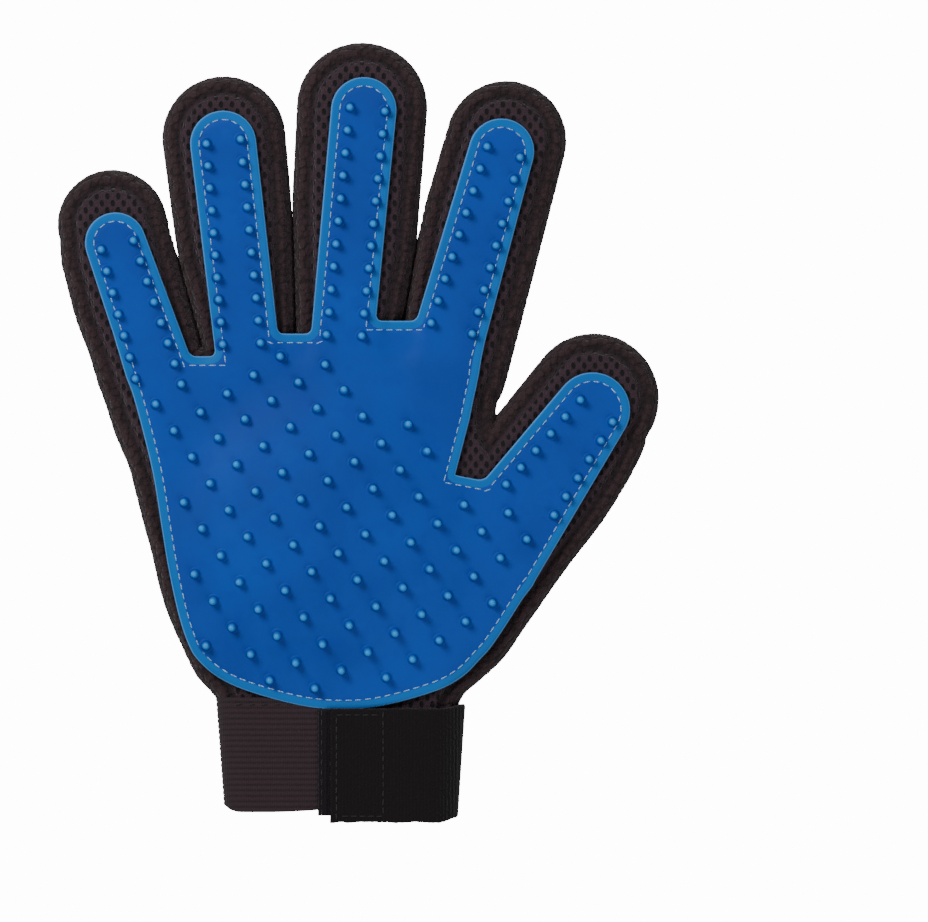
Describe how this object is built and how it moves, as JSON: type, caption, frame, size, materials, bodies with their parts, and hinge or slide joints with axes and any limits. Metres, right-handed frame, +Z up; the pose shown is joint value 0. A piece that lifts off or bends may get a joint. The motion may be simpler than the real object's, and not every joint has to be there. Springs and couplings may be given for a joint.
{
  "type": "pet grooming glove",
  "caption": "Pet grooming glove for a right hand: air-mesh glove with a nubbed rubber pad sewn to the palm and a hook-and-loop wrist strap.",
  "frame": {"origin": "on the table under the middle of the glove's outline, the glove lying on its back", "axes": "+X from the little finger to the thumb, +Y from the cuff to the fingertips, +Z up out of the palm"},
  "size_m": [0.1828, 0.2376, 0.0291],
  "materials": {
    "air_mesh_front": "black-brown spacer mesh with oval holes",
    "air_mesh_back": "black-brown spacer mesh, puffed at the edge",
    "blue_rubber": "satin moulded blue rubber",
    "pad_thread": "pale blue sewing thread",
    "ribbed_elastic": "ribbed woven elastic",
    "strap_fabric": "brushed near-black strap",
    "loop_tape": "napped loop tape",
    "hook_tape": "moulded hook tape",
    "black_thread": "black sewing thread"
  },
  "bodies": {
    "palm": {"front_mesh_palm": "air_mesh_front", "back_mesh_palm": "air_mesh_back", "rubber_pad_palm": "blue_rubber", "pad_stitching_palm": "pad_thread", "wrist_elastic": "ribbed_elastic", "closure_strap_base": "strap_fabric", "loop_tape": "loop_tape", "loop_tape_stitching": "black_thread", "cuff_seam_stitching": "black_thread"},
    "pinky_base": {"front_mesh_pinky_base": "air_mesh_front", "back_mesh_pinky_base": "air_mesh_back", "rubber_pad_pinky_base": "blue_rubber", "pad_stitching_pinky_base": "pad_thread"},
    "pinky_tip": {"front_mesh_pinky_tip": "air_mesh_front", "back_mesh_pinky_tip": "air_mesh_back", "rubber_pad_pinky_tip": "blue_rubber", "pad_stitching_pinky_tip": "pad_thread"},
    "ring_base": {"front_mesh_ring_base": "air_mesh_front", "back_mesh_ring_base": "air_mesh_back", "rubber_pad_ring_base": "blue_rubber", "pad_stitching_ring_base": "pad_thread"},
    "ring_tip": {"front_mesh_ring_tip": "air_mesh_front", "back_mesh_ring_tip": "air_mesh_back", "rubber_pad_ring_tip": "blue_rubber", "pad_stitching_ring_tip": "pad_thread"},
    "middle_base": {"front_mesh_middle_base": "air_mesh_front", "back_mesh_middle_base": "air_mesh_back", "rubber_pad_middle_base": "blue_rubber", "pad_stitching_middle_base": "pad_thread"},
    "middle_tip": {"front_mesh_middle_tip": "air_mesh_front", "back_mesh_middle_tip": "air_mesh_back", "rubber_pad_middle_tip": "blue_rubber", "pad_stitching_middle_tip": "pad_thread"},
    "index_base": {"front_mesh_index_base": "air_mesh_front", "back_mesh_index_base": "air_mesh_back", "rubber_pad_index_base": "blue_rubber", "pad_stitching_index_base": "pad_thread"},
    "index_tip": {"front_mesh_index_tip": "air_mesh_front", "back_mesh_index_tip": "air_mesh_back", "rubber_pad_index_tip": "blue_rubber", "pad_stitching_index_tip": "pad_thread"},
    "thumb_base": {"front_mesh_thumb_base": "air_mesh_front", "back_mesh_thumb_base": "air_mesh_back", "rubber_pad_thumb_base": "blue_rubber", "pad_stitching_thumb_base": "pad_thread"},
    "thumb_tip": {"front_mesh_thumb_tip": "air_mesh_front", "back_mesh_thumb_tip": "air_mesh_back", "rubber_pad_thumb_tip": "blue_rubber", "pad_stitching_thumb_tip": "pad_thread"},
    "strap_flap": {"closure_strap_flap": "strap_fabric", "hook_tape": "hook_tape", "hook_tape_stitching": "black_thread"}
  },
  "joints": [
    {"name": "pinky_knuckle", "type": "hinge", "parent": "palm", "child": "pinky_base", "pos_m": [-0.062, 0.025, 0.0201], "axis": [1, 0, 0], "range_deg": [0, 50], "stiffness_Nm_per_rad": 0.03},
    {"name": "pinky_middle_joint", "type": "hinge", "parent": "pinky_base", "child": "pinky_tip", "pos_m": [-0.062, 0.0444, 0.0201], "axis": [1, 0, 0], "range_deg": [0, 50], "stiffness_Nm_per_rad": 0.02},
    {"name": "ring_knuckle", "type": "hinge", "parent": "palm", "child": "ring_base", "pos_m": [-0.034, 0.025, 0.0201], "axis": [1, 0, 0], "range_deg": [0, 50], "stiffness_Nm_per_rad": 0.03},
    {"name": "ring_middle_joint", "type": "hinge", "parent": "ring_base", "child": "ring_tip", "pos_m": [-0.034, 0.0574, 0.0201], "axis": [1, 0, 0], "range_deg": [0, 50], "stiffness_Nm_per_rad": 0.02},
    {"name": "middle_knuckle", "type": "hinge", "parent": "palm", "child": "middle_base", "pos_m": [-0.004, 0.025, 0.0201], "axis": [1, 0, 0], "range_deg": [0, 50], "stiffness_Nm_per_rad": 0.03},
    {"name": "middle_middle_joint", "type": "hinge", "parent": "middle_base", "child": "middle_tip", "pos_m": [-0.004, 0.0605, 0.0201], "axis": [1, 0, 0], "range_deg": [0, 50], "stiffness_Nm_per_rad": 0.02},
    {"name": "index_knuckle", "type": "hinge", "parent": "palm", "child": "index_base", "pos_m": [0.028, 0.025, 0.0201], "axis": [1, 0, 0], "range_deg": [0, 50], "stiffness_Nm_per_rad": 0.03},
    {"name": "index_middle_joint", "type": "hinge", "parent": "index_base", "child": "index_tip", "pos_m": [0.028, 0.062, 0.0201], "axis": [1, 0, 0], "range_deg": [0, 50], "stiffness_Nm_per_rad": 0.02},
    {"name": "thumb_knuckle", "type": "hinge", "parent": "palm", "child": "thumb_base", "pos_m": [0.0497, -0.0223, 0.0201], "axis": [0.8007, -0.599, 0], "range_deg": [0, 50], "stiffness_Nm_per_rad": 0.03},
    {"name": "thumb_middle_joint", "type": "hinge", "parent": "thumb_base", "child": "thumb_tip", "pos_m": [0.0618, -0.00613, 0.0201], "axis": [0.8007, -0.599, 0], "range_deg": [0, 50], "stiffness_Nm_per_rad": 0.02},
    {"name": "strap_lift", "type": "hinge", "parent": "palm", "child": "strap_flap", "pos_m": [0.022, -0.1012, 0.02105], "axis": [0, 1, 0], "range_deg": [0, 170]}
  ]
}
